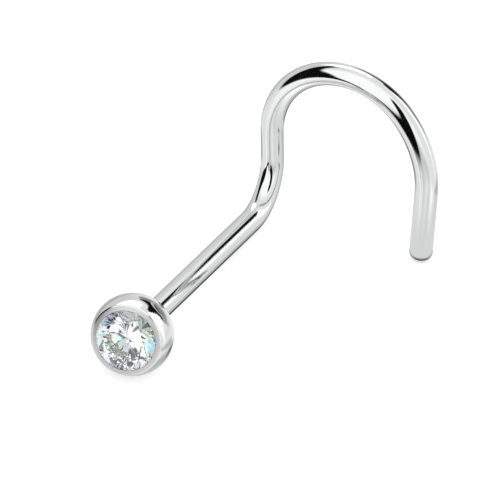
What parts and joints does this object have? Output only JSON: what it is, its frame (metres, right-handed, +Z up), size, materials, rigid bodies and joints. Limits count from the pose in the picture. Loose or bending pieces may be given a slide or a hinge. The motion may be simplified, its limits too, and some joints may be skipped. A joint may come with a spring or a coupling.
{
  "type": "nose stud",
  "caption": "Nose screw stud: ball head with a pressed-in round brilliant stone on a straight post that bends into an open hook.",
  "frame": {"origin": "middle of the whole stud's box on the surface it lies on, at Z = 0", "axes": "+Z up as the stud rests on its ball, the bend of its wire and its free end; the post runs towards +Y, away from the stone, and the hook stands up over the far end and comes down at +X"},
  "size_m": [0.0074, 0.012, 0.0064],
  "materials": {
    "steel": "mirror-polished surgical steel",
    "crystal": "clear faceted cubic zirconia"
  },
  "bodies": {
    "root": {"nose_screw": "steel", "stone": "crystal"}
  },
  "joints": []
}
